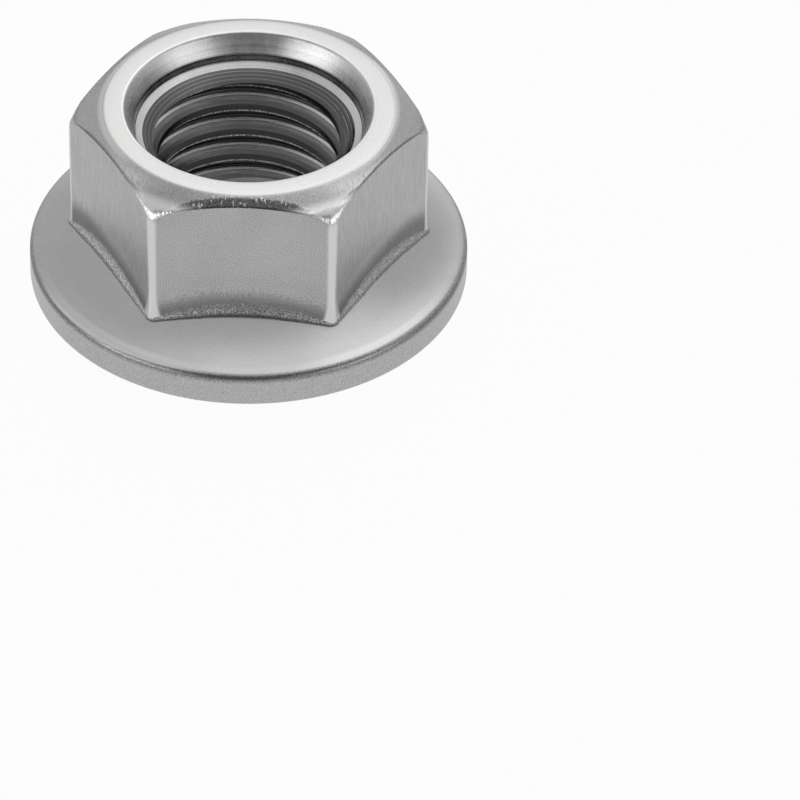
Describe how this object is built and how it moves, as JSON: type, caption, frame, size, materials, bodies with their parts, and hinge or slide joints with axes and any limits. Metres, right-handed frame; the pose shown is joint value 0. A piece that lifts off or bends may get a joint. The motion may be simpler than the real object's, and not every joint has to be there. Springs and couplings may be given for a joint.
{
  "type": "serrated flange nut",
  "caption": "Hexagon nut with a built-in round flange, a chamfered crown, a countersunk threaded bore and curved one-way teeth on the bearing face, in satin stainless steel.",
  "frame": {"origin": "on the thread axis, in the plane of the tooth tips, at the bottom centre of the nut as it stands on its bearing side", "axes": "+Z along the thread axis from the serrated bearing side to the crown of the hexagon, -Y square out of the hexagon's front flat"},
  "size_m": [0.021, 0.021, 0.0099],
  "materials": {
    "nut_steel": "satin"
  },
  "bodies": {
    "root": {"nut": "nut_steel"}
  },
  "joints": []
}
